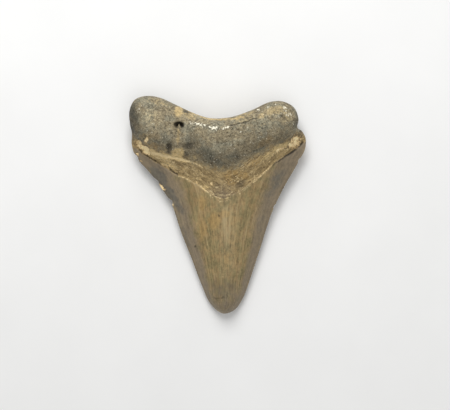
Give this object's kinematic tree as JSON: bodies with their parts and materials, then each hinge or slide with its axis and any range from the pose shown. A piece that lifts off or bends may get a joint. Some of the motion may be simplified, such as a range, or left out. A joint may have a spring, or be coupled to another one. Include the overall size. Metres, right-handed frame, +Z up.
{
  "type": "fossil megalodon tooth",
  "caption": "Fossil shark tooth with a tapering serrated crown, a band of bourlette and a thick two-lobed root, lying on its flatter face.",
  "frame": {"origin": "under the middle of the tooth's box, on the surface that the tooth lies on", "axes": "+Y from the tip to the root, +X to the right as the lingual face is seen, +Z up out of the lingual face"},
  "size_m": [0.0476, 0.0588, 0.0132],
  "materials": {
    "tooth": "mineralised bone and enamel: granular grey-green root, ochre bourlette, satin grey-brown crown"
  },
  "bodies": {
    "root": {"tooth": "tooth"}
  },
  "joints": []
}
